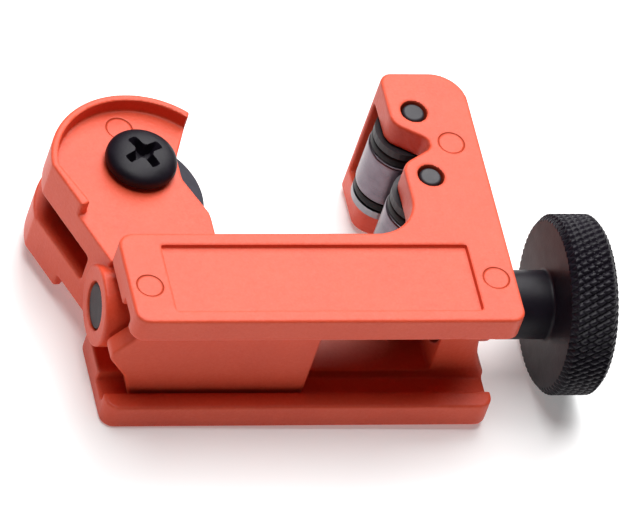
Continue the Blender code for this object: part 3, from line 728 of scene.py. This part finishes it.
def make_wheel_screw():
    """Pan-head screw: a domed head with a cross recess whose arms narrow as they go down."""
    low, high = local_box("wheel_screw")
    head, seat = (high[0] - low[0]) / 2, 5.95
    rise = high[2] - seat
    shank, tip = 2.4, -5.4
    spin = math.radians(28)         # how the recess happens to stand
    recess_depth = 1.7

    def recess(radius, angle, height):
        x = np.abs(radius * np.cos(angle - spin))
        y = np.abs(radius * np.sin(angle - spin))
        long, short = np.maximum(x, y), np.minimum(x, y)
        wing = np.clip((0.62 - short) / 0.28, 0, 1) * np.clip((2.55 - long) / 0.95, 0, 1)
        core = np.clip((1.25 - (long + short) * 0.8) / 0.5, 0, 1)
        depth = recess_depth * np.maximum(wing, core) * (height > seat + 0.5)
        return radius, height - depth

    dome = np.linspace(0, math.radians(83), 70)
    cap = np.stack([head * np.sin(dome) ** 0.85,
                    seat + rise * (0.30 + 0.70 * np.cos(dome) ** 0.72)], -1)
    rest = smooth_profile([
        (head, seat + rise * 0.28, 0), (head, seat + 0.65, 0.4), (head - 0.55, seat, 0.2),
        (shank, seat, 0.1), (shank, tip + 0.5, 0.1), (shank - 0.5, tip, 0.1), (0, tip, 0)], 0.3)
    profile = np.vstack([cap, rest])
    points, faces = revolve(profile, 240, centre=(*WHEEL_AXIS[:2], 0), shape=recess)
    return place_mesh("cross_recess_screw", points, faces, BLACK, "jaw_body", ["wheel_screw"])


# ---------------------------------------------------------------- rollers
def tube(inner, outer, reach, edge, step):
    """Profile of a ring or, with an inner radius of 0, a rod that ends at plus and minus reach."""
    return smooth_profile([
        (inner, reach, 0), (outer, reach, edge), (outer, -reach, edge), (inner, -reach, 0)], step)


def make_rollers():
    """Sleeves, flanged bushes and pins, each with its small broken edges."""
    bore, collar_end, spigot_length = 2.8, 5.0, 2.2
    for side, centre in ROLLER_AXIS.items():
        centre = (*centre[:2], 0)
        low, high = local_box("roller_sleeve_" + side)
        sleeve_end, outer = high[2], (high[0] - low[0]) / 2
        points, faces = revolve(tube(bore, outer, sleeve_end, 0.3, 0.5), 96, centre=centre,
                                closed=True)
        body = "roller_" + side + "_body"
        place_mesh("sleeve_" + side, points, faces, ROLLER, body, ["roller_sleeve_" + side])

        collar, hole, spigot = 3.95, 1.7, 2.5
        start = sleeve_end + 0.15
        profile = smooth_profile([
            (hole, collar_end, 0), (collar, collar_end, 0.35), (collar, start, 0.2),
            (spigot, start, 0), (spigot, start - spigot_length, 0.2),
            (hole, start - spigot_length, 0)], 0.5)
        for end, sign in (("top", 1), ("bottom", -1)):
            flip = np.diag([1.0, sign, sign])
            points, faces = revolve(profile, 80, flip, centre, closed=True)
            name = side + "_" + end
            place_mesh("collar_" + name, points, faces, NYLON, body, ["roller_bush_" + name])

        low, high = local_box("roller_pin_" + side)
        profile = tube(0, (high[0] - low[0]) / 2, high[2], 0.35, 0.4)
        points, faces = revolve(profile, 64, centre=centre)
        place_mesh("pin_" + side, points, faces, PIN, "frame_body", ["roller_pin_" + side])


# ---------------------------------------------------------------- floor, lights and camera
KNOB_DROP, KNOB_REACH = 1.05, 57.0      # how far the knob's rim stands below the frame's end
REST_TILT = math.atan2(KNOB_DROP, KNOB_REACH)


def make_stage():
    """A pale floor that touches the knob's rim and the open end of the frame."""
    material, _, shader, _ = new_material("matt_white_board", Roughness=0.8)
    shader.inputs["Base Color"].default_value = linear("#ECECEC")
    shader.inputs["Emission Color"].default_value = linear("#FFFFFF")
    shader.inputs["Emission Strength"].default_value = 0.24
    mesh = bpy.data.meshes.new("floor")
    reach = 3.0
    corners = [(-reach, -reach, 0), (reach, -reach, 0), (reach, reach, 0), (-reach, reach, 0)]
    mesh.from_pydata(corners, [], [(0, 1, 2, 3)])
    mesh.materials.append(material)
    floor = bpy.data.objects.new("floor", mesh)
    bpy.context.scene.collection.objects.link(floor)
    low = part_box("knob")[0]
    floor.matrix_world = (Matrix.Translation((low[0] + 0.007, 0, low[2] - 0.00005))
                          @ Matrix.Rotation(REST_TILT, 4, "Y"))


def add_area(name, place, size, power):
    """A round soft light aimed at the middle of the part."""
    light = bpy.data.lights.new(name, "AREA")
    light.shape = "DISK"
    light.size = size
    light.energy = power
    lamp = bpy.data.objects.new(name, light)
    bpy.context.scene.collection.objects.link(lamp)
    lamp.location = place
    lamp.rotation_euler = (-Vector(place)).to_track_quat("-Z", "Y").to_euler()


def make_lights():
    """Two large soft sources, beyond the tool and above it, and a weak even room."""
    world = bpy.data.worlds.new("studio")
    world.use_nodes = True
    back = world.node_tree.nodes["Background"]
    back.inputs["Color"].default_value = (1.0, 1.0, 1.0, 1.0)
    back.inputs["Strength"].default_value = 0.05
    bpy.context.scene.world = world
    add_area("softbox", (0.34, 0.62, 0.72), 0.8, 9.5)
    add_area("overhead", (-0.02, 0.14, 0.88), 0.7, 8.6)


def make_camera():
    """A long lens, from the front left and above, rolled as the tool was framed."""
    azimuth, height, roll = (math.radians(angle) for angle in (-27.171, 47.059, -20.51))
    distance, focal = 1.38764, 636.0
    shift_right, shift_down = 0.00453, 0.00045
    aim = Vector(((24.856 + ORIGIN[0]) * MM, (8.4 + ORIGIN[1]) * MM, ORIGIN[2] * MM))
    back = Vector((math.sin(azimuth) * math.cos(height), -math.cos(azimuth) * math.cos(height),
                   math.sin(height)))
    right = Vector((math.cos(azimuth), math.sin(azimuth), 0))
    up = back.cross(right)
    c, s = math.cos(roll), math.sin(roll)
    right, up = right * c - up * s, right * s + up * c
    camera = bpy.data.cameras.new("camera")
    camera.lens = focal
    camera.sensor_width = 36.0
    camera.clip_end = 50.0
    holder = bpy.data.objects.new("camera", camera)
    bpy.context.scene.collection.objects.link(holder)
    place = aim + back * distance + right * shift_right - up * shift_down
    holder.matrix_world = Matrix((
        (right.x, up.x, back.x, place.x), (right.y, up.y, back.y, place.y),
        (right.z, up.z, back.z, place.z), (0, 0, 0, 1)))
    bpy.context.scene.camera = holder
    bpy.context.scene.view_settings.view_transform = "Standard"


make_camera()
make_lights()
make_stage()
make_frame()
make_jaw()
make_knob()
make_feed_screw()
make_wheel()
make_wheel_screw()
make_rollers()
repaint(BRONZE, "wheel_bush")
repaint(PIN, "knob_peg", "retaining_clip", "roller_shim_far_top", "roller_shim_near_top")
repaint(ZINC, "thrust_washer", "clip_washer", "roller_shim_far_bottom", "roller_shim_near_bottom")
